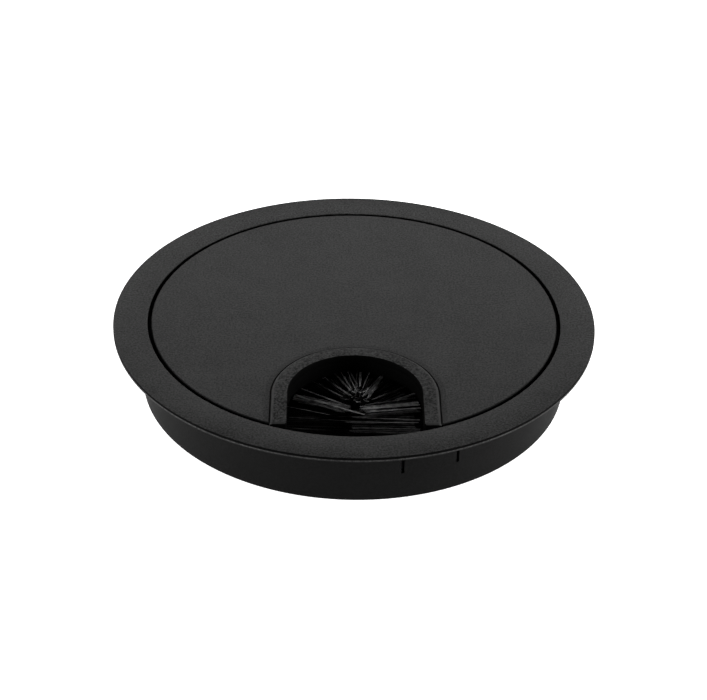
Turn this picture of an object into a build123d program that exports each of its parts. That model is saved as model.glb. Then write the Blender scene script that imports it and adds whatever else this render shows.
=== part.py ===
from build123d import *
from math import pi, sqrt
import os

# A round desk cable grommet with a U-shaped brush outlet, in millimetres.
# The origin is the centre of the tube's lower end. +Z points up through the lid, and the outlet faces -Y.

# Collar: the flange on the desk and the tube in its hole
height = 13.0
tube_r = 39.85
tube_wall = 1.25
flange_reach = 5.15
flange_t = 1.0
ledge_reach = 2.1
ledge_t = 1.2
edge_bevel = 0.2

# Spring tongues in the tube wall, cut free by two slots and a slit under the ledge
tongue_count = 3
first_tongue_angle = -70.5
tongue_span = 15.7
slot_angle = 0.8
slot_low = 5.4
slit_h = 0.5
nib_span = 8.0
nib_tip_h = 0.5
nib_slope_h = 0.55

# Lid: a disc in the collar's mouth, with a snap skirt under it
lid_t = 2.0
lid_gap = 0.7
lid_seat_gap = 0.25
run_gap = 0.3
skirt_wall = 1.2
skirt_clear_x = 18.4
bead_reach = 0.6
bead_tip_h = 0.4
hub_r = 6.2
rib_t = 1.2
rib_h = 2.0
rib_count = 5

# Outlet: a half circle at the back with straight legs that run out to the rim
outlet_half_width = 12.05
leg_len = 9.3
leg_gap = 0.34

# Brush frame: the raised trim round the outlet, which holds the brush channel under it
frame_width = 2.95
frame_proud = 0.35
frame_cap_t = 1.6
curtain_t = 0.9
frame_fit = 0.1
frame_bevel = 0.35
lip_t = 1.0
shoulder_reach = 1.5
shoulder_t = 1.2

# Hooks under the lid that catch the frame's shoulder
hook_t = 1.2
hook_fit = 0.15
hook_nose_t = 0.9
hook_catch = 0.9
hook_span = 18.0
hook_angles = (22, 90, 158)
leg_hook_start = 0.5
leg_hook_len = 3.5

# Brush channel: a C-section strip bent round the outlet, open towards it
channel_drop = 3.6
channel_h = 2.4
channel_depth = 1.5
channel_wall = 0.4
channel_setback = 0.35
channel_fit = 0.1

# Bristles: a fringe in layers, folded at the root and gripped in the channel
bristle_fit = 0.05
root_depth = 0.7
layer_count = 2
layer_t = 0.6
tufts_per_ring = 15
arch_tip_radii = (2.2, 4.4, 3.3)
tuft_root_w = 0.7
arch_tip_w = 0.16
leg_tip_w = 0.3
leg_tip_gap = 0.3

# Heights and radii that follow from the sizes above
flange_r = tube_r + flange_reach
mouth_r = tube_r - tube_wall
ledge_r = mouth_r - ledge_reach
lid_low = height - lid_t
lid_r = mouth_r - lid_gap
ledge_top = lid_low - lid_seat_gap
ledge_low = ledge_top - ledge_t
tongue_top = ledge_low - slit_h
under_r = ledge_r - run_gap
skirt_r = under_r - bead_reach
skirt_inner_r = skirt_r - skirt_wall
nib_r = skirt_r + run_gap
nib_root_r = tube_r - tube_wall / 2
nib_low = tongue_top - nib_slope_h - nib_tip_h
bead_top = nib_low - bead_reach
bead_low = bead_top - bead_tip_h
skirt_low = bead_low - bead_reach
frame_top = height + frame_proud
frame_r = outlet_half_width + frame_width
cap_low = frame_top - frame_cap_t
leg_end_y = -sqrt((mouth_r - leg_gap) ** 2 - frame_r**2)
arch_y = leg_end_y + leg_len
channel_top = height - channel_drop
channel_low = channel_top - channel_h
channel_inner = outlet_half_width + channel_setback
channel_outer = channel_inner + channel_depth
pocket_r = channel_outer + channel_fit
lip_inner = channel_inner + channel_fit
frame_low = channel_low - lip_t
shoulder_r = frame_r + shoulder_reach
shoulder_low = lid_low - shoulder_t
hook_inner = shoulder_r + hook_fit
hook_outer = hook_inner + hook_t
hook_nose_r = shoulder_r - hook_catch
hook_low = shoulder_low - hook_nose_t
grip_r = channel_outer - channel_wall
grip_low = channel_low + channel_wall
grip_top = channel_top - channel_wall
bristle_outer = grip_r - bristle_fit
bristle_inner = bristle_outer - root_depth
bristle_low = grip_low + bristle_fit
bristle_top = grip_top - bristle_fit
layer_gap = (bristle_top - bristle_low - layer_count * layer_t) / (layer_count - 1)
tuft_angle = 180 / (tufts_per_ring * len(arch_tip_radii))
tuft_pitch = pi * outlet_half_width / (tufts_per_ring * len(arch_tip_radii))
brush_end_y = -sqrt(skirt_r**2 - channel_outer**2)
leg_rows = int((arch_y - brush_end_y) / tuft_pitch)
tongue_angles = [first_tongue_angle + 360 * i / tongue_count for i in range(tongue_count)]
arch_axis = Axis((0, arch_y, 0), (0, 0, 1))


def ring_sector(outer, inner, angle, span):
    """A sector of a ring about the grommet's axis, centred on an angle."""
    start = angle - span / 2
    with BuildLine() as outline:
        outside = CenterArc((0, 0), outer, start, span)
        inside = CenterArc((0, 0), inner, start, span)
        Line(outside @ 0, inside @ 0)
        Line(outside @ 1, inside @ 1)
    make_face(outline.edges())


def u_plan(half_width, end_y, mode=Mode.ADD):
    """The outlet's outline at a half width: a half circle and two legs, closed at end_y."""
    with BuildLine() as outline:
        Line((half_width, end_y), (half_width, arch_y))
        CenterArc((0, arch_y), half_width, 0, 180)
        Line((-half_width, arch_y), (-half_width, end_y))
        Line((-half_width, end_y), (half_width, end_y))
    make_face(outline.edges(), mode=mode)


def u_band(outer, inner, end_y, low, high, mode=Mode.ADD):
    """A U-shaped wall round the outlet between two half widths and two heights."""
    with BuildSketch(Plane.XY.offset(low)) as plan:
        u_plan(outer, end_y)
        u_plan(inner, end_y, Mode.SUBTRACT)
    extrude(plan.sketch, amount=high - low, mode=mode)


def radial_plane(angle, centre=(0, 0, 0)):
    """An upright plane through a centre line, with its x axis pointing out at an angle."""
    outward = Vector(1, 0, 0).rotate(Axis.Z, angle)
    return Plane(centre, x_dir=outward, z_dir=outward.cross(Vector(0, 0, 1)))


def tuft(tip_x, tip_w):
    """A tapered tuft along the local x axis, from its root in the channel to its tip."""
    Polygon(
        (bristle_outer - root_depth / 2, -tuft_root_w / 2),
        (bristle_outer - root_depth / 2, tuft_root_w / 2),
        (tip_x, tip_w / 2),
        (tip_x, -tip_w / 2),
        align=None,
    )


# Collar: one turned profile, then the tongues' slots and nibs
with BuildPart() as collar:
    with BuildSketch(Plane.XZ):
        Polygon(
            (mouth_r, 0),
            (tube_r, 0),
            (tube_r, height - flange_t),
            (flange_r, height - flange_t),
            (flange_r, height),
            (mouth_r, height),
            (mouth_r, ledge_top),
            (ledge_r, ledge_top),
            (ledge_r, ledge_low),
            (mouth_r, ledge_low),
            align=None,
        )
    revolve(axis=Axis.Z)
    chamfer(collar.edges().filter_by_position(Axis.Z, height, height), edge_bevel)
    flange_low_edges = collar.edges().filter_by_position(Axis.Z, height - flange_t, height - flange_t)
    chamfer(flange_low_edges.sort_by(SortBy.RADIUS)[-1], edge_bevel)
    chamfer(collar.edges().filter_by_position(Axis.Z, 0, 0), edge_bevel)

    for angle in tongue_angles:
        with BuildSketch(Plane.XY.offset(tongue_top)):
            ring_sector(flange_r, skirt_r, angle, tongue_span)
        extrude(amount=slit_h, mode=Mode.SUBTRACT)
        for side in (-1, 1):
            with BuildSketch(Plane.XY.offset(slot_low)):
                slot_middle = angle + side * (tongue_span - slot_angle) / 2
                ring_sector(flange_r, skirt_r, slot_middle, slot_angle)
            extrude(amount=tongue_top - slot_low, mode=Mode.SUBTRACT)

    # The nib leads the lid's bead down past its upper slope and catches it with its lower one
    for angle in tongue_angles:
        with BuildSketch(radial_plane(angle - nib_span / 2)):
            Polygon(
                (nib_root_r, tongue_top),
                (mouth_r, tongue_top),
                (nib_r, tongue_top - nib_slope_h),
                (nib_r, nib_low),
                (mouth_r, nib_low - nib_slope_h),
                (nib_root_r, nib_low - nib_slope_h),
                align=None,
            )
        revolve(axis=Axis.Z, revolution_arc=nib_span)
collar.part.label = "collar"

# Lid: the disc, its skirt and ribs, the outlet cut-out and the hooks for the frame
with BuildPart() as lid:
    with BuildSketch(Plane.XY.offset(lid_low)):
        Circle(lid_r)
    extrude(amount=lid_t)
    chamfer(lid.edges().filter_by_position(Axis.Z, height, height), edge_bevel)

    with BuildSketch(radial_plane(-90)):
        Polygon(
            (skirt_inner_r, lid_low),
            (skirt_r, lid_low),
            (skirt_r, bead_top + bead_reach),
            (under_r, bead_top),
            (under_r, bead_low),
            (skirt_r, skirt_low),
            (skirt_inner_r, skirt_low),
            align=None,
        )
    revolve(axis=Axis.Z)

    # The skirt stops short of the frame on both sides
    with BuildSketch(Plane.XY.offset(skirt_low)):
        Rectangle(2 * skirt_clear_x, flange_r, align=(Align.CENTER, Align.MAX))
    extrude(amount=lid_low - skirt_low, mode=Mode.SUBTRACT)

    with BuildSketch(Plane.XY.offset(lid_low - rib_h)):
        with PolarLocations(0, rib_count, angular_range=180, endpoint=True):
            Rectangle(skirt_r - skirt_wall / 2, rib_t, align=(Align.MIN, Align.CENTER))
        Circle(hub_r)
        Circle(hub_r - rib_t, mode=Mode.SUBTRACT)
    extrude(amount=rib_h)

    with BuildSketch(Plane.XY.offset(lid_low)):
        u_plan(frame_r + frame_fit, -flange_r)
    extrude(amount=lid_t, mode=Mode.SUBTRACT)

    hook_profile = (
        (hook_inner, lid_low),
        (hook_outer, lid_low),
        (hook_outer, hook_low),
        (hook_nose_r, hook_low + hook_nose_t / 2),
        (hook_nose_r, shoulder_low),
        (hook_inner, shoulder_low),
    )
    for angle in hook_angles:
        with BuildSketch(radial_plane(angle - hook_span / 2, (0, arch_y, 0))):
            Polygon(*hook_profile, align=None)
        revolve(axis=arch_axis, revolution_arc=hook_span)
    with BuildSketch(Plane.XZ.offset(leg_hook_start - arch_y)):
        hook_face = Polygon(*hook_profile, align=None)
        mirror(hook_face, about=Plane.YZ)
    extrude(amount=leg_hook_len)
lid.part.label = "lid"

# Brush frame: cap, outer wall, inner curtain, lower lip and the shoulder under the lid
with BuildPart() as brush_frame:
    u_band(frame_r, outlet_half_width, leg_end_y, cap_low, frame_top)
    chamfer(brush_frame.edges().filter_by_position(Axis.Z, frame_top, frame_top), frame_bevel)
    u_band(frame_r, pocket_r, leg_end_y, frame_low, cap_low)
    u_band(outlet_half_width + curtain_t, outlet_half_width, leg_end_y, channel_top, cap_low)
    u_band(frame_r, lip_inner, leg_end_y, frame_low, channel_low)
    u_band(shoulder_r, pocket_r, leg_end_y, shoulder_low, lid_low)
    with BuildSketch(Plane.XY.offset(frame_low)):
        Circle(flange_r)
        Circle(skirt_r, mode=Mode.SUBTRACT)
    extrude(amount=lid_low - frame_low, mode=Mode.SUBTRACT)
brush_frame.part.label = "brush_frame"

# Brush channel: a C section, open towards the outlet
with BuildPart() as brush_channel:
    u_band(channel_outer, channel_inner, brush_end_y, channel_low, channel_top)
    u_band(grip_r, channel_inner, brush_end_y, grip_low, grip_top, mode=Mode.SUBTRACT)
brush_channel.part.label = "brush_channel"

# Bristles: the folded roots in the channel, and layers of tapered tufts that reach into the outlet.
# Round the arch they point at its centre in rings of three lengths, and along the legs they meet in the middle.
with BuildPart() as bristles:
    u_band(bristle_outer, bristle_inner, brush_end_y, bristle_low, bristle_top)
    for layer in range(layer_count):
        layer_low = bristle_low + layer * (layer_t + layer_gap)
        shift = (layer + 0.5) / layer_count
        rows = [arch_y - (row + shift) * tuft_pitch for row in range(leg_rows)]
        with BuildSketch(Plane.XY.offset(layer_low)):
            for ring, tip_r in enumerate(arch_tip_radii):
                start = (ring + shift) * tuft_angle
                with Locations((0, arch_y)):
                    with PolarLocations(0, tufts_per_ring, start_angle=start, angular_range=180):
                        tuft(tip_r, arch_tip_w)
            for turn in (0, 180):
                with Locations(*[Location((0, y, 0), (0, 0, turn)) for y in rows]):
                    tuft(leg_tip_gap / 2, leg_tip_w)
        extrude(amount=layer_t)
bristles.part.label = "bristles"

os.makedirs("parts", exist_ok=True)
for piece in (collar, lid, brush_frame, brush_channel, bristles):
    export_step(piece.part, f"parts/{piece.part.label}.step")
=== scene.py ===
"""The looks of a round desk cable grommet with a brush outlet.

Fine meshes stand for the frame's solids: the collar, the turning lid, the raised trim round the outlet, the
channel that grips the brush, and the brush itself as thousands of filaments. Sizes are in millimetres and
angles in degrees, unless a comment says otherwise.
"""
import math
import random

import bmesh
import bpy
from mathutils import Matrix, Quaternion, Vector


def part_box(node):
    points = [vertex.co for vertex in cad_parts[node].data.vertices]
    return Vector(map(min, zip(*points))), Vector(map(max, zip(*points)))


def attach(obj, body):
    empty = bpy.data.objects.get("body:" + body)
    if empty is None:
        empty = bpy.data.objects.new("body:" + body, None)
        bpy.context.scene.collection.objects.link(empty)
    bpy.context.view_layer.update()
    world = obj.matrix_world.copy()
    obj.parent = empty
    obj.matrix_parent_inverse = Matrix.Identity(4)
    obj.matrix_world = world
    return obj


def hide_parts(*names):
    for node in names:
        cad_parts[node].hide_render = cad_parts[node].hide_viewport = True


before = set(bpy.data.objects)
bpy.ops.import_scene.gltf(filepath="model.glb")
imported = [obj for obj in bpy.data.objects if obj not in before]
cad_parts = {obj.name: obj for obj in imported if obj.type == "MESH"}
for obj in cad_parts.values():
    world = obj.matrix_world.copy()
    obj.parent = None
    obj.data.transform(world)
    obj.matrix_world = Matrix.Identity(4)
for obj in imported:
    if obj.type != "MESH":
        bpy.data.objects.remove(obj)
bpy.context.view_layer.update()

MM = 0.001


def frame_box(node):
    """A node's lowest and highest corners at rest, in millimetres."""
    low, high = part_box(node)
    return Vector(low) / MM, Vector(high) / MM


# Sizes read from the frame
collar_high = frame_box("collar")[1]
lid_low_corner, lid_high = frame_box("lid")
trim_low, trim_high = frame_box("brush_frame")
channel_low, channel_high = frame_box("brush_channel")
HEIGHT = collar_high.z
FLANGE_R = collar_high.x
LID_R = lid_high.x
SKIRT_LOW = lid_low_corner.z
TRIM_TOP = trim_high.z
TRIM_LOW = trim_low.z
LEG_END_Y = trim_low.y
BRUSH_END_Y = channel_low.y

# Lid's disc
LID_T = 2.0
LID_LOW = HEIGHT - LID_T
LID_ROUND = 0.14
LID_BEVEL = 0.15
# Rings of points on the disc's top, measured in from its rounding
FLAT_RING = 0.1
STRIP_RING = 0.12

# Collar
FLANGE_T = 1.0
TUBE_R = 39.85
MOUTH_R = 38.6
LEDGE_R = 36.5
LEDGE_T = 1.2
LEDGE_GAP = 0.25
LEDGE_TOP = LID_LOW - LEDGE_GAP
LEDGE_LOW = LEDGE_TOP - LEDGE_T
RIM_ROUND = 0.1
LOWER_ROUND = 0.25
MOUTH_ROUND = 0.12
NECK_ROUND = 0.15
FOOT_ROUND = 0.3
BORE_ROUND = 0.2
LEDGE_ROUND = 0.1
# Height of the band of painted shade along the flange's upper edge
EDGE_SPLIT = 0.48

# Spring tongues in the tube's wall: two slots and a slit free each one, and a nib stands inside it
TONGUE_ANGLES = (-70.5, 49.5, 169.5)
TONGUE_SPAN = 15.7
SLOT_SPAN = 0.8
SLOT_LOW = 5.4
SLIT_H = 0.5
SLOT_OVERLAP = 0.01
CUTTER_REACH = 1.0
TONGUE_TOP = LEDGE_LOW - SLIT_H
NIB_SPAN = 8.0
NIB_R = 35.9
NIB_H = 1.05
NIB_LOW = TONGUE_TOP - NIB_H
NIB_SLOPE = 0.55
NIB_DROP = 0.05

# What hangs under the lid, sunk a little into the disc
SINK = 0.2
EDGE_ROUND = 0.1
SKIRT_R = 35.6
SKIRT_INNER_R = 34.4
SKIRT_CLEAR_X = 18.4
BEAD_R = 36.2
BEAD_H = 0.4
BEAD_SLOPE = 0.6
BEAD_LOW = SKIRT_LOW + BEAD_SLOPE
BEAD_TOP = BEAD_LOW + BEAD_H
HUB_R = 6.2
RIB_T = 1.2
RIB_H = 2.0
RIB_ANGLES = (0, 45, 90, 135, 180)

# Outlet and its trim, whose widths are measured from the outlet's middle
LEG_LENGTH = 9.3
ARCH_Y = LEG_END_Y + LEG_LENGTH
OUTLET_W = 12.05
TRIM_W = 15.0
TRIM_CAP_T = 1.6
TRIM_ROUND = 0.6
TRIM_END_ROUND = 0.3
TRIM_INNER_ROUND = 0.08
TRIM_FIT = 0.05
CUTOUT_W = TRIM_W + TRIM_FIT
CURTAIN_T = 0.9
WALL_SETBACK = 0.4
WALL_ROUND = 0.05
WALL_JOIN = 0.1
CAP_JOIN = 0.5
# Width of the strip of painted shadow that lies along the trim on the lid
SHADE_W = 0.8

# The trim's shoulder under the lid, and the lid's hooks that catch it
SHOULDER_W = 16.5
SHOULDER_T = 1.2
SHOULDER_LOW = LID_LOW - SHOULDER_T
HOOK_FIT = 0.15
HOOK_T = 1.2
HOOK_BITE = 0.9
HOOK_DROP = 0.9
HOOK_SLOPE = 0.45
HOOK_INNER = SHOULDER_W + HOOK_FIT
HOOK_OUTER = HOOK_INNER + HOOK_T
HOOK_NOSE = SHOULDER_W - HOOK_BITE
HOOK_LOW = SHOULDER_LOW - HOOK_DROP
HOOK_SPAN = 18.0
HOOK_ANGLES = (22, 90, 158)
LEG_HOOK_START = 0.5
LEG_HOOK_END = 4.0

# Brush channel
CHANNEL_INNER = 12.4
CHANNEL_OUTER = 13.9
CHANNEL_WALL = 0.4
CHANNEL_ROUND = 0.08
CHANNEL_FIT = 0.1
BACK_INSET = 0.02
GRIP_LOW = channel_low.z + CHANNEL_WALL
GRIP_TOP = channel_high.z - CHANNEL_WALL
GRIP_MIDDLE = (GRIP_LOW + GRIP_TOP) / 2

# Filaments: their shares of the way from root to tip, widths and scatter
SEED = 7
ROOT_R = 13.4
LAYER_H = (GRIP_TOP - GRIP_LOW) / 2
STRAND_SIDES = 3
STRAND_STEPS = (0.0, 0.2, 0.6, 1.0)
STRAND_W = 0.2
WIDTH_RANGE = (0.8, 1.15)
TIP_TAPER = 0.45
STRAND_BOW = 0.10
TUFT_SPREAD = 0.36
TIP_SPREAD = 0.10
TIP_RAGGED = 0.7
RISE_RANGE = (0.5, 1.1)
# The painted shades of one black filament, from the one painted as shade to the one painted brightest as
# light
SHADED, DIM, LIT, BRIGHT = range(4)
LIT_LIFT = 0.3
LIT_THIN = 0.75

# Tufts from the arch: where their tips stop, past its middle if negative, and how far they rise
ARCH_TUFTS = 60
ARCH_STRANDS = 36
ARCH_WANDER = 4.0
BACK_ARC = (48, 134)
BACK_STOP = (2.2, 4.2)
BACK_RISE = (0.6, 2.4)
SIDE_STOP = (-0.9, 1.6)
SIDE_RISE = (0.0, 0.5)
# Arcs whose filaments are painted lit, as start angle, end angle and the share of them that is
LIT_ARCS = ((14, 44, 0.06), (48, 132, 0.04), (146, 165, 0.08))

# Tufts from the legs, in straight rows
LEG_TUFTS = 9
LEG_STRANDS = 60
LEG_SETBACK = 0.25
LEG_STOP = (-0.2, 0.6)
LEG_MEET_X = -0.6
LEG_WANDER = 0.15
LEG_TIP_STEP = 0.15
LEG_RISE = (-0.1, 0.2)
LEG_LIT = 0.035

# Wisps that lie on the brush and are painted lit, as root x, root y, tip x, tip y, lift, filaments and
# painted shade
WISP_LIFT = 0.55
WISP_STEPS = (0.0, 0.14, 0.57, 1.0)
WISP_SPREAD = 0.04
WISP_TAPER = 0.4
WISPS = (
    (-12.5, -21.1, -1.6, -25.8, 0.5, 17, LIT),
    (-12.3, -20.7, 1.2, -28.2, 0.9, 4, BRIGHT),
    (-10.9, -18.3, -2.0, -24.9, 0.6, 5, LIT),
    (-12.7, -21.9, -1.8, -27.3, 0.4, 4, DIM),
    (-13.3, -24.4, -4.5, -27.5, 0.2, 1, DIM),
    (-8.6, -15.8, -2.4, -23.2, 1.2, 3, DIM),
    (-6.6, -14.3, -0.9, -23.1, 1.4, 3, LIT),
    (-4.0, -13.2, -0.8, -22.1, 1.6, 3, LIT),
    (-2.7, -12.9, -0.6, -21.8, 1.8, 3, LIT),
    (-1.4, -12.7, 0.0, -21.6, 1.8, 3, LIT),
    (-0.9, -12.7, 0.5, -20.8, 1.8, 3, DIM),
    (1.2, -12.7, 0.9, -20.8, 1.8, 4, LIT),
    (0.5, -12.6, 0.1, -21.4, 1.8, 2, DIM),
    (3.0, -12.9, 1.4, -21.0, 1.7, 3, LIT),
    (5.6, -13.8, 1.6, -23.3, 1.4, 5, LIT),
    (5.6, -13.8, 2.3, -23.8, 1.3, 6, LIT),
    (7.3, -14.8, 2.8, -22.1, 1.2, 3, DIM),
    (10.2, -17.3, 3.4, -23.6, 0.9, 5, DIM),
    (11.9, -19.9, 7.5, -23.7, 0.8, 9, BRIGHT),
    (13.1, -23.2, 1.4, -25.9, 0.5, 16, BRIGHT),
    (12.5, -21.3, 2.1, -24.9, 0.6, 3, LIT),
    (13.3, -24.8, 2.2, -27.0, 0.5, 5, BRIGHT),
    (13.4, -25.7, 1.3, -28.5, 0.4, 6, DIM),
    (12.6, -25.4, 2.6, -28.0, 0.4, 12, DIM),
    (13.4, -28.8, -0.1, -28.4, 0.3, 5, DIM),
    (13.4, -29.5, -1.1, -29.8, 0.3, 4, DIM),
    (13.4, -31.6, -0.6, -31.6, 0.3, 3, DIM),
    (13.4, -32.1, -0.6, -32.5, 0.3, 2, DIM),
    (-13.4, -28.1, -1.0, -29.6, 0.3, 1, DIM),
)

# The knot of short curled tips that lies on the brush
KNOT = (0.3, -22.6, 10.4)
KNOT_SPREAD = (0.7, 0.7, 0.25)
KNOT_STRANDS = 38
KNOT_LENGTH = (0.8, 1.8)
KNOT_SLANT = (-0.2, 0.3)
KNOT_BOW = 0.3
KNOT_TAPER = 0.5

# How far up a face points, as its normal's z, where its material changes between the moulded tone, painted
# shade and painted highlight
FLAT = 0.99
INNER_TILT = 0.9
STEEP = 0.7
UPRIGHT = 0.15
DOWN = -0.5
# How far past a wall or an edge the middle of a face lies if the face isn't on it
WALL_MARGIN = 0.3
EDGE_MARGIN = 0.1

# Plastic: the size of its clouds, the share of its specks in its tone, and the noise between dark and light
CLOUD_SIZE = 9.0
SPECK_SHARE = 0.75
TONE_RANGE = (0.38, 0.62)
WARMTH = 0.99
GLOSS_SWING = 0.06
GRAIN_DEPTH = 0.02
# Nylon filament
STREAK_SIZE = 0.8
STREAK_RANGE = (0.35, 0.7)
NYLON_ROUGH = 0.38

# Camera, fitted to the photograph
CAMERA_AZIMUTH = -0.96
CAMERA_ELEVATION = 32.49
CAMERA_DISTANCE = 405.0
CAMERA_LENS = 109.95
CAMERA_ROLL = 0.995
CAMERA_SENSOR = 36.0
CAMERA_CLIP = 10.0
AIM_RIGHT = -0.011
AIM_DROP = 7.60

# Light. Each soft light has a place, a width and a height in metres, and a power in watts.
WORLD_GLOW = 0.015
BACK_BOX = ((0.0, 0.138, 0.088), 0.4, 0.05, 0.221)
LEFT_STRIP = ((-0.44, -0.13, 0.06), 0.08, 0.3, 3.6)
RIGHT_STRIP = ((0.45, -0.09, 0.06), 0.08, 0.3, 4.3)

# Floor, which glows outside the tube
FLOOR_HALF = 4000.0
FLOOR_DROP = 0.05
FLOOR_TONE = 0.93
FLOOR_ROUGH = 0.9
FLOOR_SPECULAR = 0.1
FLOOR_GLOW = 1.0
GLOW_START_R = MOUTH_R + 0.1
GLOW_FULL_R = TUBE_R - 0.2

# Steps of a full turn, of a rounding and along the lid's outline
TURN_STEPS = 360
ROUND_STEPS = 4
ARCH_STEPS = 90
LID_ARC_STEPS = 300
LID_LEG_STEPS = 8
SMALLEST_ROUND = 0.001
# Edges that turn by more than this stay sharp
SHARP_ANGLE = 32
STRAND_SHARP_ANGLE = 80


class Shell:
    """Points and faces gathered for one mesh."""

    def __init__(self):
        self.points = []
        self.faces = []
        self.marks = []

    def grid(self, loops, closed_along=False, marks=None):
        """Joins a row of closed loops with equal counts, and closes the row's two ends or joins them.

        marks gives each row of faces its material's number.
        """
        base = len(self.points)
        count = len(loops[0])
        rows = len(loops)
        for loop in loops:
            self.points.extend(loop)
        for i in range(rows if closed_along else rows - 1):
            a = base + i * count
            b = base + (i + 1) % rows * count
            for j in range(count):
                k = (j + 1) % count
                self.faces.append((a + j, a + k, b + k, b + j))
        if not closed_along:
            self.faces.append(tuple(base + j for j in reversed(range(count))))
            self.faces.append(tuple(base + (rows - 1) * count + j for j in range(count)))
        if marks:
            for mark in marks:
                self.marks += [mark] * count
            self.marks += [marks[0], marks[-1]]

    def make(self, name, sharp_angle=SHARP_ANGLE):
        """The mesh object, in metres, with its normals turned outward and its sharp edges marked."""
        mesh = bpy.data.meshes.new(name)
        mesh.from_pydata([tuple(c * MM for c in p) for p in self.points], [], self.faces)
        tidy = bmesh.new()
        tidy.from_mesh(mesh)
        bmesh.ops.recalc_face_normals(tidy, faces=tidy.faces)
        tidy.to_mesh(mesh)
        tidy.free()
        if self.marks:
            mesh.polygons.foreach_set("material_index", self.marks)
        mesh.shade_smooth()
        mesh.set_sharp_from_angle(angle=math.radians(sharp_angle))
        made = bpy.data.objects.new(name, mesh)
        bpy.context.scene.collection.objects.link(made)
        return made


def rounded(corners):
    """A closed outline from (x, y, radius) corners, each turned into an arc of that radius."""
    outline = []
    count = len(corners)
    for i, (x, y, radius) in enumerate(corners):
        here = Vector((x, y))
        if radius <= 0:
            outline.append(tuple(here))
            continue
        to_last = (Vector(corners[i - 1][:2]) - here).normalized()
        to_next = (Vector(corners[(i + 1) % count][:2]) - here).normalized()
        half = to_last.angle(to_next) / 2
        reach = radius / math.tan(half)
        centre = here + (to_last + to_next).normalized() * radius / math.sin(half)
        start = here + to_last * reach - centre
        turn = start.angle_signed(here + to_next * reach - centre)
        for step in range(ROUND_STEPS + 1):
            angle = -turn * step / ROUND_STEPS
            c, s = math.cos(angle), math.sin(angle)
            outline.append((centre.x + c * start.x - s * start.y, centre.y + s * start.x + c * start.y))
    return outline


def turned(shell, profile, start=0.0, span=360.0, centre_y=0.0):
    """Turns a closed (radius, height) profile about an upright axis at (0, centre_y)."""
    whole = span >= 360
    steps = max(2, round(TURN_STEPS * span / 360))
    loops = []
    for i in range(steps if whole else steps + 1):
        angle = math.radians(start + span * i / steps)
        loops.append([(r * math.cos(angle), centre_y + r * math.sin(angle), z) for r, z in profile])
    shell.grid(loops, closed_along=whole)


def u_stations(end_y):
    """Places along the outlet's U, from the right leg's end to the left one's.

    Each one is its outward direction and the point that widths are measured from.
    """
    places = [((1, 0), (0, end_y)), ((1, 0), (0, ARCH_Y))]
    for i in range(1, ARCH_STEPS):
        angle = math.pi * i / ARCH_STEPS
        places.append(((math.cos(angle), math.sin(angle)), (0, ARCH_Y)))
    places += [((-1, 0), (0, ARCH_Y)), ((-1, 0), (0, end_y))]
    return places


def u_bar(shell, inner, outer, low, high, end_y, radius, outer_round=None, inner_round=None):
    """A bar with rounded edges that follows the U between two half widths and two heights.

    The two upper edges can have roundings of their own.
    """
    def corner(width, height, size, inset):
        return width, height, max(size - inset, SMALLEST_ROUND)

    def section(inset):
        return rounded([
            corner(inner + inset, low + inset, radius, inset),
            corner(outer - inset, low + inset, radius, inset),
            corner(outer - inset, high - inset, outer_round or radius, inset),
            corner(inner + inset, high - inset, inner_round or radius, inset),
        ])

    def placed(inset, place):
        (dx, dy), (x, y) = place
        return [(x + w * dx, y + w * dy, z) for w, z in section(inset)]

    ends = []
    for step in range(ROUND_STEPS + 1):
        angle = math.pi / 2 * step / ROUND_STEPS
        ends.append((radius * (1 - math.sin(angle)), end_y + radius * (1 - math.cos(angle))))
    loops = [placed(inset, ((1, 0), (0, y))) for inset, y in ends[:-1]]
    loops += [placed(0, place) for place in u_stations(ends[-1][1])]
    loops += [placed(inset, ((-1, 0), (0, y))) for inset, y in reversed(ends[:-1])]
    shell.grid(loops)


def block(shell, corners, low, high):
    """An upright prism on a plan outline."""
    shell.grid([[(x, y, low) for x, y in corners], [(x, y, high) for x, y in corners]])


def rectangle(inner, outer, low, high):
    """A rectangle between two radii and two heights."""
    return [(inner, low), (outer, low), (outer, high), (inner, high)]


def cut(target, cutter):
    """Takes the cutter's shape out of the target."""
    modifier = target.modifiers.new("cut", "BOOLEAN")
    modifier.operation = "DIFFERENCE"
    modifier.solver = "EXACT"
    modifier.use_self = True
    modifier.object = cutter
    graph = bpy.context.evaluated_depsgraph_get()
    mesh = bpy.data.meshes.new_from_object(target.evaluated_get(graph))
    target.modifiers.clear()
    target.data = mesh
    bpy.data.objects.remove(cutter)
    mesh.set_sharp_from_angle(angle=math.radians(SHARP_ANGLE))


def make_slot_cutter():
    """The slit over each tongue and the slot on each side of it, as one shape that goes through the wall."""
    inner = MOUTH_R - CUTTER_REACH
    outer = TUBE_R + CUTTER_REACH
    slit = rectangle(inner, outer, TONGUE_TOP, TONGUE_TOP + SLIT_H)
    slot = rectangle(inner, outer, SLOT_LOW, TONGUE_TOP + SLOT_OVERLAP)
    shell = Shell()
    for angle in TONGUE_ANGLES:
        turned(shell, slit, angle - TONGUE_SPAN / 2, TONGUE_SPAN)
        for side in (-1, 1):
            middle = angle + side * (TONGUE_SPAN - SLOT_SPAN) / 2
            turned(shell, slot, middle - SLOT_SPAN / 2, SLOT_SPAN)
    return shell.make("slot_cutter")


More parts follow.
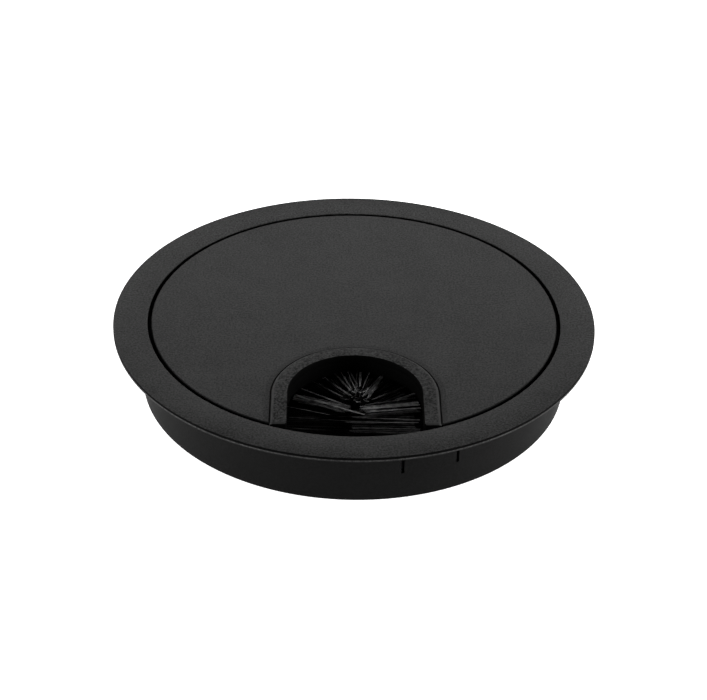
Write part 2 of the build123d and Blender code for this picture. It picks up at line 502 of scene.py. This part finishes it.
def make_collar():
    """The flange, tube and ledge in one turned shape, with the tongues' slits and slots cut."""
    shell = Shell()
    turned(shell, rounded([
        (MOUTH_R, 0, BORE_ROUND),
        (TUBE_R, 0, FOOT_ROUND),
        (TUBE_R, HEIGHT - FLANGE_T, NECK_ROUND),
        (FLANGE_R, HEIGHT - FLANGE_T, LOWER_ROUND),
        (FLANGE_R, HEIGHT - EDGE_SPLIT, 0),
        (FLANGE_R, HEIGHT, RIM_ROUND),
        (MOUTH_R, HEIGHT, MOUTH_ROUND),
        (MOUTH_R, LEDGE_TOP, LEDGE_ROUND),
        (LEDGE_R, LEDGE_TOP, BORE_ROUND),
        (LEDGE_R, LEDGE_LOW, BORE_ROUND),
        (MOUTH_R, LEDGE_LOW, LEDGE_ROUND),
    ]))
    made = shell.make("collar_skin")
    cut(made, make_slot_cutter())
    return made


def make_nibs():
    """The snap nib inside each tongue."""
    shell = Shell()
    root = (MOUTH_R + TUBE_R) / 2
    top = TONGUE_TOP - NIB_DROP
    low = NIB_LOW - NIB_SLOPE
    profile = [
        (root, top),
        (MOUTH_R, top),
        (NIB_R, TONGUE_TOP - NIB_SLOPE),
        (NIB_R, NIB_LOW),
        (MOUTH_R, low),
        (root, low),
    ]
    for angle in TONGUE_ANGLES:
        turned(shell, profile, angle - NIB_SPAN / 2, NIB_SPAN)
    return shell.make("tongue_nibs")


def lid_outline(inset, height, outlet_inset=0.0):
    """The lid's outline with its outlet cut out, drawn in by an inset, and by one more at the outlet."""
    radius = LID_R - inset
    width = CUTOUT_W + inset + outlet_inset
    corner_y = -math.sqrt(radius**2 - width**2)
    start = math.atan2(corner_y, width)
    span = math.pi - 2 * start
    points = []
    for i in range(LID_ARC_STEPS + 1):
        angle = start + span * i / LID_ARC_STEPS
        points.append((radius * math.cos(angle), radius * math.sin(angle), height))
    for i in range(1, LID_LEG_STEPS + 1):
        points.append((-width, corner_y + (ARCH_Y - corner_y) * i / LID_LEG_STEPS, height))
    for i in range(1, ARCH_STEPS):
        angle = math.pi * (1 - i / ARCH_STEPS)
        points.append((width * math.cos(angle), ARCH_Y + width * math.sin(angle), height))
    for i in range(LID_LEG_STEPS):
        points.append((width, ARCH_Y + (corner_y - ARCH_Y) * i / LID_LEG_STEPS, height))
    return points


def add_disc(shell):
    """The lid's disc, bevelled below and rounded above, with a ring of points round the strip by the trim."""
    loops = [lid_outline(LID_BEVEL, LID_LOW), lid_outline(0, LID_LOW + LID_BEVEL)]
    steps = ROUND_STEPS + 1
    for step in range(steps + 1):
        angle = math.pi / 2 * step / steps
        inset = LID_ROUND * (1 - math.cos(angle))
        loops.append(lid_outline(inset, HEIGHT - LID_ROUND * (1 - math.sin(angle))))
    loops.append(lid_outline(LID_ROUND + FLAT_RING, HEIGHT))
    loops.append(lid_outline(LID_ROUND + STRIP_RING, HEIGHT, SHADE_W))
    shell.grid(loops)


def add_skirt(shell):
    """The ring under the disc that stops on both sides of the outlet, with its snap bead."""
    start = math.degrees(math.atan2(-math.sqrt(SKIRT_R**2 - SKIRT_CLEAR_X**2), SKIRT_CLEAR_X))
    turned(shell, rounded([
        (SKIRT_INNER_R, LID_LOW + SINK, 0),
        (SKIRT_R, LID_LOW + SINK, 0),
        (SKIRT_R, BEAD_TOP + BEAD_SLOPE, EDGE_ROUND),
        (BEAD_R, BEAD_TOP, EDGE_ROUND),
        (BEAD_R, BEAD_LOW, EDGE_ROUND),
        (SKIRT_R, SKIRT_LOW, EDGE_ROUND),
        (SKIRT_INNER_R, SKIRT_LOW, EDGE_ROUND),
    ]), start, 180 - 2 * start)


def add_ribs(shell):
    """The hub under the lid's middle and the ribs from it to the skirt."""
    turned(shell, rounded([
        (HUB_R - RIB_T, LID_LOW - RIB_H, EDGE_ROUND),
        (HUB_R, LID_LOW - RIB_H, EDGE_ROUND),
        (HUB_R, LID_LOW + SINK, 0),
        (HUB_R - RIB_T, LID_LOW + SINK, 0),
    ]))
    near = HUB_R - RIB_T / 2
    far = SKIRT_R - RIB_T / 2
    half = RIB_T / 2
    plan = [(near, -half), (far, -half), (far, half), (near, half)]
    for angle in RIB_ANGLES:
        c, s = math.cos(math.radians(angle)), math.sin(math.radians(angle))
        block(shell, [(x * c - y * s, x * s + y * c) for x, y in plan], LID_LOW - RIB_H, LID_LOW + SINK)


def add_hooks(shell):
    """The hooks round the outlet that catch the trim's shoulder: three on the arch and one on each leg."""
    hook = [
        (HOOK_INNER, LID_LOW + SINK),
        (HOOK_OUTER, LID_LOW + SINK),
        (HOOK_OUTER, HOOK_LOW),
        (HOOK_NOSE, HOOK_LOW + HOOK_SLOPE),
        (HOOK_NOSE, SHOULDER_LOW),
        (HOOK_INNER, SHOULDER_LOW),
    ]
    for angle in HOOK_ANGLES:
        turned(shell, hook, angle - HOOK_SPAN / 2, HOOK_SPAN, ARCH_Y)
    for side in (-1, 1):
        ends = (ARCH_Y - LEG_HOOK_START, ARCH_Y - LEG_HOOK_END)
        shell.grid([[(side * w, y, z) for w, z in hook] for y in ends])


def make_lid():
    """The lid with all that hangs under it."""
    shell = Shell()
    add_disc(shell)
    add_skirt(shell)
    add_ribs(shell)
    add_hooks(shell)
    return shell.make("lid_skin")


def make_trim():
    """The trim frame: a rounded cap over thin walls that hold the brush channel."""
    under_end = -math.sqrt(SKIRT_R**2 - TRIM_W**2)
    shoulder_end = -math.sqrt(SKIRT_R**2 - SHOULDER_W**2)
    pocket = CHANNEL_OUTER + CHANNEL_FIT
    curtain = OUTLET_W + CURTAIN_T
    sill = OUTLET_W + WALL_SETBACK
    cap_low = TRIM_TOP - TRIM_CAP_T
    cap_join = cap_low + CAP_JOIN
    channel_floor, channel_roof = channel_low.z, channel_high.z
    shell = Shell()
    u_bar(shell, OUTLET_W, TRIM_W, cap_low, TRIM_TOP, LEG_END_Y, TRIM_END_ROUND, TRIM_ROUND, TRIM_INNER_ROUND)
    u_bar(shell, pocket, TRIM_W, LID_LOW, cap_join, LEG_END_Y + WALL_SETBACK, WALL_ROUND)
    u_bar(shell, pocket, TRIM_W, TRIM_LOW, LID_LOW + WALL_JOIN, under_end, WALL_ROUND)
    u_bar(shell, OUTLET_W, curtain, channel_roof, cap_join, under_end, WALL_ROUND)
    u_bar(shell, sill, TRIM_W, TRIM_LOW, channel_floor, under_end, WALL_ROUND)
    u_bar(shell, pocket, SHOULDER_W, SHOULDER_LOW, LID_LOW, shoulder_end, WALL_ROUND)
    return shell.make("outlet_trim")


def make_channel():
    """The C-section strip that grips the bristles' roots."""
    low, high = channel_low.z, channel_high.z
    back = CHANNEL_OUTER - CHANNEL_WALL
    shell = Shell()
    u_bar(shell, CHANNEL_INNER, CHANNEL_OUTER, low, GRIP_LOW, BRUSH_END_Y, CHANNEL_ROUND)
    u_bar(shell, CHANNEL_INNER, CHANNEL_OUTER, GRIP_TOP, high, BRUSH_END_Y, CHANNEL_ROUND)
    u_bar(shell, back, CHANNEL_OUTER, low + BACK_INSET, high - BACK_INSET, BRUSH_END_Y, WALL_ROUND)
    return shell.make("brush_strip")


def across(along):
    """The level direction square to another one."""
    return Vector((-along.y, along.x, 0))


def toward(angle):
    """The level direction at an angle in radians."""
    return Vector((math.cos(angle), math.sin(angle), 0))


def strand(shell, path, root_width, tip_width, twist, mark):
    """One filament: three-sided, tapered from its root to its tip, along a short path of points.

    Its root end is painted with the shaded material as shade, so only the rest takes the mark's material.
    """
    last = len(path) - 1
    loops = []
    for i, point in enumerate(path):
        along = (path[min(i + 1, last)] - path[max(i - 1, 0)]).normalized()
        side = along.cross(Vector((0, 0, 1))).normalized()
        top = side.cross(along)
        half = (root_width + (tip_width - root_width) * i / last) / 2
        loop = []
        for k in range(STRAND_SIDES):
            angle = twist + 2 * math.pi * k / STRAND_SIDES
            loop.append(tuple(point + (side * math.cos(angle) + top * math.sin(angle)) * half))
        loops.append(loop)
    shell.grid(loops, marks=[SHADED] + [mark] * (last - 1))


def bent(root, tip, sag, rise, steps=STRAND_STEPS):
    """A path from root to tip, bowed sideways by sag and lifted toward its tip by rise."""
    along = tip - root
    side = across(along).normalized()
    path = []
    for t in steps:
        bow = 4 * t * (1 - t) * sag
        path.append(root + along * t + side * bow + Vector((0, 0, rise * t**3)))
    return path


def tuft(shell, draw, root, tip, strands, lit, rise, shades=(DIM, LIT)):
    """A tuft of filaments that leave the strip side by side and lean together toward one tip.

    lit is the share of them painted lit, in one of the painted shades.
    """
    along = (tip - root).normalized()
    side = across(along)
    for _ in range(strands):
        mark = SHADED
        width = STRAND_W
        if draw.random() < lit:
            mark = draw.choice(shades)
            width = STRAND_W * LIT_THIN
        start = root + side * draw.uniform(-TUFT_SPREAD, TUFT_SPREAD)
        start.z += LAYER_H / 2 if mark else draw.uniform(-LAYER_H / 2, LAYER_H / 2)
        end = tip + side * draw.gauss(0, TIP_SPREAD) + along * draw.uniform(-TIP_RAGGED, TIP_RAGGED)
        end.z += draw.gauss(0, TIP_SPREAD) + (LIT_LIFT if mark else 0)
        path = bent(start, end, draw.gauss(0, STRAND_BOW), rise * draw.uniform(*RISE_RANGE))
        root_width = width * draw.uniform(*WIDTH_RANGE)
        strand(shell, path, root_width, width * TIP_TAPER, draw.uniform(0, math.pi), mark)


def arch_tuft(shell, draw, angle, level):
    """One tuft from the arch, at an angle in radians.

    Those from the back stop short and rise into a knot, and the side ones lie flatter.
    """
    degrees = math.degrees(angle)
    back = BACK_ARC[0] < degrees < BACK_ARC[1]
    centre = Vector((0, ARCH_Y, GRIP_MIDDLE + level * LAYER_H / 2))
    root = centre + toward(angle) * ROOT_R
    aim = angle + draw.gauss(0, math.radians(ARCH_WANDER))
    stop = draw.uniform(*(BACK_STOP if back else SIDE_STOP))
    tip = centre + toward(aim) * stop
    rise = draw.uniform(*(BACK_RISE if back else SIDE_RISE))
    lit = 0.0
    for start, end, share in LIT_ARCS:
        if level > 0 and start < degrees < end:
            lit = share
    tuft(shell, draw, root, tip, ARCH_STRANDS, lit, rise)


def leg_tuft(shell, draw, y, side, level):
    """One tuft from a leg, straight across to the middle. Only the right leg's upper ones are painted lit."""
    height = GRIP_MIDDLE + level * LAYER_H / 2
    root = Vector((side * ROOT_R, y, height))
    reach = draw.uniform(*LEG_STOP)
    tip_y = y + draw.gauss(0, LEG_WANDER)
    tip = Vector((side * reach + LEG_MEET_X, tip_y, height + side * LEG_TIP_STEP))
    lit = LEG_LIT if side > 0 and level > 0 else 0.0
    tuft(shell, draw, root, tip, LEG_STRANDS, lit, draw.uniform(*LEG_RISE), shades=(DIM,))


def wisp(shell, draw, root, tip, strands, mark):
    """A bundle of filaments painted lit, side by side in a thin sheet."""
    along = (tip - root).normalized()
    side = across(along)
    half = WISP_SPREAD * strands
    for _ in range(strands):
        start = root + side * draw.uniform(-half, half)
        end = tip + side * draw.uniform(-half, half) + along * draw.uniform(-TIP_RAGGED, TIP_RAGGED)
        end.z += draw.gauss(0, TIP_SPREAD)
        path = bent(start, end, draw.gauss(0, STRAND_BOW), 0, WISP_STEPS)
        strand(shell, path, STRAND_W * LIT_THIN, STRAND_W * WISP_TAPER, draw.uniform(0, math.pi), mark)


def knot_strand(shell, draw):
    """One short curled filament of the knot."""
    start = Vector(KNOT) + Vector([draw.gauss(0, spread) for spread in KNOT_SPREAD])
    turn = draw.uniform(0, 2 * math.pi)
    slant = Vector((0, 0, draw.uniform(*KNOT_SLANT)))
    end = start + (toward(turn) + slant) * draw.uniform(*KNOT_LENGTH)
    path = bent(start, end, draw.gauss(0, KNOT_BOW), draw.uniform(*KNOT_SLANT))
    # The knot's filaments are painted at random as shade, lit or bright
    strand(shell, path, STRAND_W, STRAND_W * KNOT_TAPER, turn, draw.choice((SHADED, LIT, BRIGHT)))


def make_bristles():
    """The filaments: two layers of tufts from the arch and the legs, with the wisps and the knot on them."""
    draw = random.Random(SEED)
    shell = Shell()
    for level in (-1, 1):
        for i in range(ARCH_TUFTS):
            arch_tuft(shell, draw, math.pi * (i + 0.5) / ARCH_TUFTS, level)
    for i in range(LEG_TUFTS):
        y = BRUSH_END_Y + LEG_SETBACK + (ARCH_Y - BRUSH_END_Y - LEG_SETBACK) * (i + 0.5) / LEG_TUFTS
        for side in (-1, 1):
            for level in (-1, 1):
                leg_tuft(shell, draw, y, side, level)
    for root_x, root_y, tip_x, tip_y, lift, strands, mark in WISPS:
        root = Vector((root_x, root_y, GRIP_TOP + WISP_LIFT))
        tip = Vector((tip_x, tip_y, GRIP_TOP + WISP_LIFT + lift))
        wisp(shell, draw, root, tip, strands, mark)
    for _ in range(KNOT_STRANDS):
        knot_strand(shell, draw)
    return shell.make("brush_filaments", STRAND_SHARP_ANGLE)


def new_material(name, specular):
    """A material with its node tree and its shader."""
    material = bpy.data.materials.new(name)
    material.use_nodes = True
    shader = material.node_tree.nodes["Principled BSDF"]
    shader.inputs["Specular IOR Level"].default_value = specular
    return material, material.node_tree, shader


def own_place(tree):
    """Each point's place in its piece's own space, in metres."""
    return tree.nodes.new("ShaderNodeTexCoord").outputs["Object"]


def noise(tree, size, detail, roughness):
    """Noise with features of a size in millimetres."""
    made = tree.nodes.new("ShaderNodeTexNoise")
    made.inputs["Scale"].default_value = 1 / (size * MM)
    made.inputs["Detail"].default_value = detail
    made.inputs["Roughness"].default_value = roughness
    tree.links.new(own_place(tree), made.inputs["Vector"])
    return made.outputs["Fac"]


def ramp(tree, value, positions, colours):
    """A blend from the first colour to the second as the value goes from one position to the other."""
    made = tree.nodes.new("ShaderNodeValToRGB")
    for end, position, colour in zip(made.color_ramp.elements, positions, colours):
        end.position = position
        end.color = (*colour, 1)
    tree.links.new(value, made.inputs["Fac"])
    return made.outputs["Color"]


def weighted(tree, first, share, second):
    """The first value by its share, and the second by the rest."""
    rest = tree.nodes.new("ShaderNodeMath")
    rest.operation = "MULTIPLY"
    rest.inputs[1].default_value = 1 - share
    total = tree.nodes.new("ShaderNodeMath")
    total.operation = "MULTIPLY_ADD"
    total.inputs[1].default_value = share
    tree.links.new(second, rest.inputs[0])
    tree.links.new(first, total.inputs[0])
    tree.links.new(rest.outputs[0], total.inputs[2])
    return total.outputs[0]


def plastic(name, dark, light, rough, specular, grain, grain_size):
    """A matt moulded plastic: cloudy and speckled in tone, cloudy in gloss, with a fine moulded grain."""
    material, tree, shader = new_material(name, specular)
    cloud = noise(tree, CLOUD_SIZE, detail=4.0, roughness=0.6)
    speck = noise(tree, grain_size, detail=3.0, roughness=0.7)
    tones = [(tone, tone, tone * WARMTH) for tone in (dark, light)]
    colour = ramp(tree, weighted(tree, speck, SPECK_SHARE, cloud), TONE_RANGE, tones)
    tree.links.new(colour, shader.inputs["Base Color"])

    gloss = tree.nodes.new("ShaderNodeMapRange")
    gloss.inputs["To Min"].default_value = rough - GLOSS_SWING
    gloss.inputs["To Max"].default_value = rough + GLOSS_SWING
    tree.links.new(cloud, gloss.inputs["Value"])
    tree.links.new(gloss.outputs["Result"], shader.inputs["Roughness"])

    bump = tree.nodes.new("ShaderNodeBump")
    bump.inputs["Strength"].default_value = grain
    bump.inputs["Distance"].default_value = GRAIN_DEPTH * MM
    tree.links.new(speck, bump.inputs["Height"])
    tree.links.new(bump.outputs["Normal"], shader.inputs["Normal"])
    return material


def filament(name, dark, light, specular):
    """Black nylon filament, a little lighter along some stretches than others."""
    material, tree, shader = new_material(name, specular)
    shader.inputs["Roughness"].default_value = NYLON_ROUGH
    streak = noise(tree, STREAK_SIZE, detail=2.0, roughness=0.5)
    colour = ramp(tree, streak, STREAK_RANGE, [(dark, dark, dark), (light, light, light)])
    tree.links.new(colour, shader.inputs["Base Color"])
    return material


def pale_floor():
    """A plain pale floor under the object, which glows white outside the tube."""
    half = FLOOR_HALF * MM
    mesh = bpy.data.meshes.new("floor")
    corners = [(-half, -half, 0), (half, -half, 0), (half, half, 0), (-half, half, 0)]
    mesh.from_pydata(corners, [], [(0, 1, 2, 3)])
    floor = bpy.data.objects.new("floor", mesh)
    floor.location.z = -FLOOR_DROP * MM
    bpy.context.scene.collection.objects.link(floor)

    material, tree, shader = new_material("floor_white", FLOOR_SPECULAR)
    shader.inputs["Base Color"].default_value = (FLOOR_TONE, FLOOR_TONE, FLOOR_TONE, 1)
    shader.inputs["Roughness"].default_value = FLOOR_ROUGH
    shader.inputs["Emission Color"].default_value = (1, 1, 1, 1)
    reach = tree.nodes.new("ShaderNodeVectorMath")
    reach.operation = "LENGTH"
    glow = tree.nodes.new("ShaderNodeMapRange")
    glow.inputs["From Min"].default_value = GLOW_START_R * MM
    glow.inputs["From Max"].default_value = GLOW_FULL_R * MM
    glow.inputs["To Max"].default_value = FLOOR_GLOW
    tree.links.new(own_place(tree), reach.inputs[0])
    tree.links.new(reach.outputs["Value"], glow.inputs["Value"])
    tree.links.new(glow.outputs["Result"], shader.inputs["Emission Strength"])
    mesh.materials.append(material)


def soft_light(name, place, width, height, watts):
    """An area light that points at the object."""
    data = bpy.data.lights.new(name, "AREA")
    data.shape = "RECTANGLE"
    data.size = width
    data.size_y = height
    data.energy = watts
    light = bpy.data.objects.new(name, data)
    light.location = place
    light.rotation_mode = "QUATERNION"
    light.rotation_quaternion = Vector(place).to_track_quat("Z", "Y")
    bpy.context.scene.collection.objects.link(light)


def light_studio():
    """A dim surround, a broad softbox close behind and a strip on each side."""
    scene = bpy.context.scene
    world = bpy.data.worlds.new("studio")
    scene.world = world
    world.use_nodes = True
    background = world.node_tree.nodes["Background"]
    background.inputs["Color"].default_value = (1, 1, 1, 1)
    background.inputs["Strength"].default_value = WORLD_GLOW
    soft_light("back_box", *BACK_BOX)
    soft_light("left_strip", *LEFT_STRIP)
    soft_light("right_strip", *RIGHT_STRIP)
    scene.view_settings.view_transform = "Standard"


def place_camera():
    """The photograph's viewing angle: in front and above, a degree to the left."""
    azimuth, elevation = math.radians(CAMERA_AZIMUTH), math.radians(CAMERA_ELEVATION)
    right = toward(azimuth)
    back = Vector((
        math.sin(azimuth) * math.cos(elevation),
        -math.cos(azimuth) * math.cos(elevation),
        math.sin(elevation),
    ))
    place = Vector((0, 0, HEIGHT)) + back * CAMERA_DISTANCE
    aim = right * AIM_RIGHT + Vector((0, 0, HEIGHT - AIM_DROP))
    data = bpy.data.cameras.new("camera")
    data.lens = CAMERA_LENS
    data.sensor_width = CAMERA_SENSOR
    data.clip_start = CAMERA_CLIP * MM
    camera = bpy.data.objects.new("camera", data)
    camera.location = place * MM
    camera.rotation_mode = "QUATERNION"
    roll = Quaternion((0, 0, 1), math.radians(CAMERA_ROLL))
    camera.rotation_quaternion = (aim - place).to_track_quat("-Z", "Y") @ roll
    bpy.context.scene.collection.objects.link(camera)
    bpy.context.scene.camera = camera


def paint(piece, materials, choose):
    """Gives each face the material that choose names, from the face's middle and the direction it faces."""
    names = list(materials)
    for material in materials.values():
        piece.data.materials.append(material)
    for face in piece.data.polygons:
        face.material_index = names.index(choose(face.center / MM, face.normal))


def dress(piece, body, slot, *nodes):
    """Puts a piece under its body's empty and hides the CAD nodes that it stands for; slot is not used."""
    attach(piece, body)
    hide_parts(*nodes)


def from_outlet(centre):
    """How far a face's middle lies from the outlet's middle line, round the arch too."""
    return math.hypot(centre.x, max(centre.y - ARCH_Y, 0))


def collar_face(centre, normal):
    """The flange's top is moulded black, with a band of painted shade along its upper edge.

    The mouth is painted near-black as shade down to the ledge, and the tube and all that is below are painted
    darker as shade.
    """
    reach = math.hypot(centre.x, centre.y)
    if reach < TUBE_R - WALL_MARGIN and centre.z < HEIGHT - MOUTH_ROUND:
        return "hollow" if centre.z > LEDGE_LOW + EDGE_MARGIN else "tube"
    if centre.z < HEIGHT - FLANGE_T + LOWER_ROUND:
        return "tube"
    rim = reach > TUBE_R + WALL_MARGIN and centre.z > HEIGHT - EDGE_SPLIT
    return "hollow" if rim and abs(normal.z) < STEEP else "top"


def nib_face(centre, normal):
    """The nibs are painted darker as shade all over."""
    return "under"


def lid_face(centre, normal):
    """The lid's top is moulded black, with a narrow strip of painted shadow along the trim.

    Its upper edges carry a painted dark line of shade, its sides are painted near-black as shade and its
    underside is painted darker as shade.
    """
    if centre.z < HEIGHT - LID_ROUND:
        return "hollow" if centre.z > LID_LOW + EDGE_MARGIN else "under"
    if math.hypot(centre.x, centre.y) > LID_R - LID_ROUND and normal.z < FLAT:
        return "groove"
    away = from_outlet(centre)
    if away > CUTOUT_W + SHADE_W or centre.y > 0:
        return "top"
    return "groove" if away < CUTOUT_W + LID_ROUND and normal.z < FLAT else "shade"


def trim_face(centre, normal):
    """The trim's top is grained, and its outer rounding carries a painted highlight at first and then a
    painted dark line of shade.

    The walls round the outlet are painted near-black as shade, and what faces outward or down under the lid
    is painted darker as shade.
    """
    away = from_outlet(centre)
    if centre.z < LID_LOW and (away > TRIM_W - EDGE_MARGIN or normal.z < DOWN):
        return "under"
    leg_end = centre.y < LEG_END_Y + TRIM_END_ROUND
    outer = away > TRIM_W - TRIM_ROUND or leg_end
    if centre.z < TRIM_TOP - TRIM_ROUND or normal.z < (UPRIGHT if outer else INNER_TILT):
        return "hollow"
    if not outer or normal.z > FLAT:
        return "top"
    return "edge" if leg_end or normal.z > STEEP else "groove"


def strip_face(centre, normal):
    """The channel is painted near-black as shade, and its underside is painted darker as shade."""
    return "under" if normal.z < DOWN else "hollow"


moulded = plastic(
    "moulded_black", dark=0.004, light=0.041, rough=0.50, specular=0.10, grain=0.7, grain_size=0.36)
moulded_trim = plastic(
    "trim_black", dark=0.0, light=0.056, rough=0.55, specular=0.06, grain=1.0, grain_size=0.40)
# Painted highlight: a lighter, smoother tone on the trim's outer rounding and its legs' ends
edge_highlight = plastic(
    "edge_highlight_black", dark=0.022, light=0.036, rough=0.50, specular=0.10, grain=0.30, grain_size=0.40)
# Painted shade: the tube's wall, the flange's lower rounding and the collar below the ledge, far darker than
# the moulded top
tube_shade_black = plastic(
    "tube_shade_black", dark=0.0020, light=0.0045, rough=0.60, specular=0.038, grain=0.4, grain_size=0.40)
# Painted shade: a darker tone for undersides, the trim's outer walls under the lid and the nibs
under_shade_black = plastic(
    "under_shade_black", dark=0.004, light=0.012, rough=0.60, specular=0.01, grain=0.6, grain_size=0.40)
# Painted shadow: a slightly darker tone for the strip of the lid along the trim
shade_black = plastic(
    "shade_black", dark=0.004, light=0.036, rough=0.50, specular=0.08, grain=0.7, grain_size=0.36)
# Painted shade: dark lines on the lid's rim rounding, the lid's edge by the trim and the trim's outer
# rounding
groove_shade_black = plastic(
    "groove_shade_black", dark=0.006, light=0.014, rough=0.60, specular=0.03, grain=0.35, grain_size=0.40)
# Painted shade: near-black for the mouth, the flange's upper edge band, the lid's sides, the outlet's walls
# and the channel
hollow_shade_black = plastic(
    "hollow_shade_black", dark=0.0006, light=0.0012, rough=0.70, specular=0.02, grain=0.35, grain_size=0.40)
# Copies of one black nylon painted from shade to bright light: the darkest as painted shade, the others as
# painted highlights
nylons = {
    SHADED: filament("nylon_shaded", dark=0.0006, light=0.0015, specular=0.03),
    DIM: filament("nylon_dim", dark=0.02, light=0.07, specular=0.3),
    LIT: filament("nylon_lit", dark=0.06, light=0.20, specular=0.4),
    BRIGHT: filament("nylon_bright", dark=0.12, light=0.38, specular=0.4),
}

collar = make_collar()
paint(collar, {"top": moulded, "tube": tube_shade_black, "hollow": hollow_shade_black}, collar_face)
dress(collar, "collar_body", "collar_black", "collar")

nibs = make_nibs()
paint(nibs, {"under": under_shade_black}, nib_face)
dress(nibs, "collar_body", "collar_black", "collar")

lid = make_lid()
paint(lid, {
    "top": moulded,
    "hollow": hollow_shade_black,
    "shade": shade_black,
    "groove": groove_shade_black,
    "under": under_shade_black,
}, lid_face)
dress(lid, "lid_body", "lid_black", "lid")

trim = make_trim()
paint(trim, {
    "top": moulded_trim,
    "hollow": hollow_shade_black,
    "edge": edge_highlight,
    "groove": groove_shade_black,
    "under": under_shade_black,
}, trim_face)
dress(trim, "lid_body", "frame_black", "brush_frame")

strip = make_channel()
paint(strip, {"hollow": hollow_shade_black, "under": under_shade_black}, strip_face)
dress(strip, "lid_body", "channel_black", "brush_channel")

bristles = make_bristles()
for shade in sorted(nylons):
    bristles.data.materials.append(nylons[shade])
dress(bristles, "lid_body", "bristle_black", "bristles")

pale_floor()
light_studio()
place_camera()
